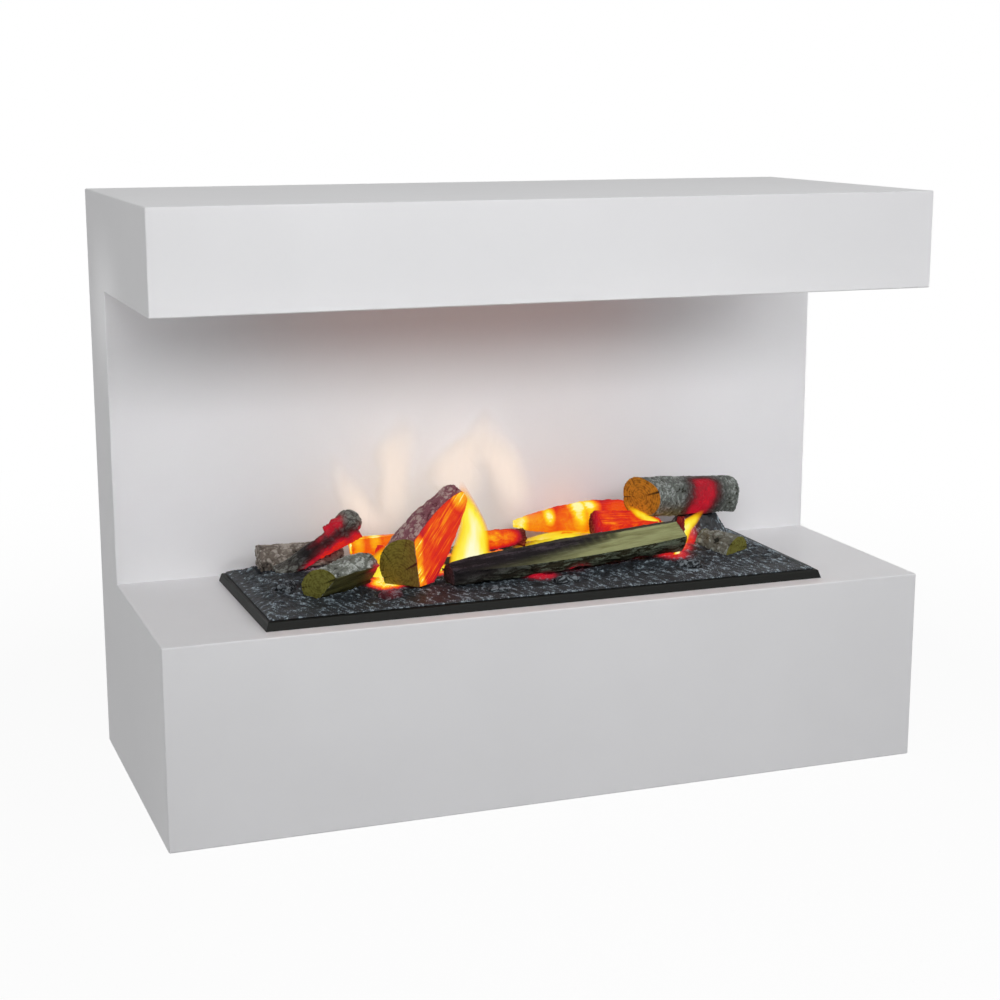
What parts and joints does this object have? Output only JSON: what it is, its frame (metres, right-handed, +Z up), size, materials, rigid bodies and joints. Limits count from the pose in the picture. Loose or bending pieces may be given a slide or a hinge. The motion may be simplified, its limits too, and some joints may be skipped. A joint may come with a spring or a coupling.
{
  "type": "electric fireplace",
  "caption": "C-shaped white surround, open at the front and both sides, with a lift-out bed of moulded logs over a water-vapour flame cassette; stands on a floor or hangs on a wall",
  "frame": {"origin": "middle of the surround's underside, halfway between its front face and its wall side", "axes": "+X to the viewer's right along the width, +Y towards the wall, +Z up; the fire faces -Y"},
  "size_m": [0.8, 0.346, 0.6],
  "materials": {
    "white_lacquer": "satin white lacquer on fibreboard",
    "fibreboard": "bare fibreboard, inside the surround",
    "back_hardboard": "hardboard, dark side out",
    "zinc_steel": "zinc-plated sheet",
    "black_steel": "black powder coat",
    "black_rubber": "moulded rubber",
    "black_plastic": "moulded, fine texture",
    "grey_plastic": "moulded, plain",
    "clear_plastic": "clear blow-moulded",
    "frame_resin": "cast resin, dark green-black",
    "ember_resin": "cast resin, painted as ash and charcoal",
    "amber_diffuser": "amber sheet lit from below",
    "bark_resin": "cast resin, painted as bark and split wood",
    "burnt_resin": "cast resin, painted as charred wood",
    "spring_steel": "drawn wire",
    "piezo_ceramic": "plated disc",
    "lamp_glass": "pressed reflector glass",
    "board_laminate": "green laminate with parts",
    "inlet_brass": "plain pins"
  },
  "bodies": {
    "surround": {"side_panel_left": "white_lacquer", "side_panel_right": "white_lacquer", "top_panel": "white_lacquer", "canopy_fascia": "white_lacquer", "canopy_soffit": "white_lacquer", "column_panel": "white_lacquer", "hearth_panel": "white_lacquer", "base_fascia": "white_lacquer", "base_floor": "white_lacquer", "back_board": "back_hardboard", "back_battens": "fibreboard", "hanging_rail": "zinc_steel", "back_screws": "zinc_steel", "cable_bush": "black_rubber", "vent_grille": "black_plastic", "cassette_rails": "fibreboard", "cassette_case": "black_steel", "sump_tray": "black_plastic", "sump_lid": "black_plastic", "mist_hood": "black_plastic", "transducers": "grey_plastic", "transducer_discs": "piezo_ceramic", "fan_frame": "black_plastic", "lamp_rails": "zinc_steel", "lamps": "lamp_glass", "bay_wall": "zinc_steel", "power_supply": "grey_plastic", "control_board": "board_laminate", "switch_bezel": "black_plastic", "potentiometer": "zinc_steel", "mains_inlet": "black_plastic", "inlet_pins": "inlet_brass"},
    "log_bed": {"bed_frame": "frame_resin", "ember_bed": "ember_resin", "glow_diffuser": "amber_diffuser", "log_left_rear": "bark_resin", "log_left_front": "bark_resin", "log_front_long": "bark_resin", "log_mid_small": "burnt_resin", "log_rear_long": "burnt_resin", "log_rear_red": "burnt_resin", "log_round": "bark_resin", "log_right_small": "bark_resin", "log_rear_left": "bark_resin", "ember_branch": "burnt_resin", "split_log": "bark_resin", "kindling": "burnt_resin", "coal_lumps": "ember_resin"},
    "tank": {"water_tank": "clear_plastic"},
    "cap": {"tank_cap": "black_plastic", "cap_gasket": "black_rubber", "valve_spring": "spring_steel"},
    "valve": {"valve_plunger": "grey_plastic"},
    "fan": {"fan_rotor": "black_plastic"},
    "rocker": {"switch_rocker": "black_plastic"},
    "knob": {"flame_knob": "black_plastic"},
    "float": {"level_float": "grey_plastic"},
    "front_latch": {"latch_front": "grey_plastic"},
    "rear_latch": {"latch_rear": "grey_plastic"}
  },
  "joints": [
    {"name": "bed_lift", "type": "slide", "parent": "surround", "child": "log_bed", "axis": [0, 0, 1], "range_m": [0, 0.17]},
    {"name": "tank_lift", "type": "slide", "parent": "surround", "child": "tank", "axis": [0, 0, 1], "range_m": [0, 0.154]},
    {"name": "cap_turn", "type": "hinge", "parent": "tank", "child": "cap", "pos_m": [-0.211, -0.049, 0.08], "axis": [0, 0, 1], "range_deg": [0, 270]},
    {"name": "valve_slide", "type": "slide", "parent": "cap", "child": "valve", "axis": [0, 0, 1], "range_m": [-0.003, 0], "deforming": ["valve_spring"]},
    {"name": "fan_spin", "type": "hinge", "parent": "surround", "child": "fan", "pos_m": [0.168, -0.049, 0.1], "axis": [0, 0, 1], "continuous": true},
    {"name": "switch_rock", "type": "hinge", "parent": "surround", "child": "rocker", "pos_m": [0.252, -0.095, 0.181], "axis": [0, 1, 0], "range_deg": [0, 20]},
    {"name": "knob_turn", "type": "hinge", "parent": "surround", "child": "knob", "pos_m": [0.252, -0.043, 0.19], "axis": [0, 0, 1], "range_deg": [-135, 135]},
    {"name": "float_rise", "type": "slide", "parent": "surround", "child": "float", "axis": [0, 0, 1], "range_m": [0, 0.014]},
    {"name": "front_latch_turn", "type": "hinge", "parent": "surround", "child": "front_latch", "pos_m": [0.124, -0.129, 0.09], "axis": [0, 0, -1], "range_deg": [0, 90]},
    {"name": "rear_latch_turn", "type": "hinge", "parent": "surround", "child": "rear_latch", "pos_m": [0.124, 0.031, 0.09], "axis": [0, 0, 1], "range_deg": [0, 90]}
  ],
  "couplings": [
    {"joint": "tank_lift", "follows": "bed_lift", "ratio": 0.9},
    {"joint": "valve_slide", "follows": "bed_lift", "ratio": -0.0176}
  ]
}
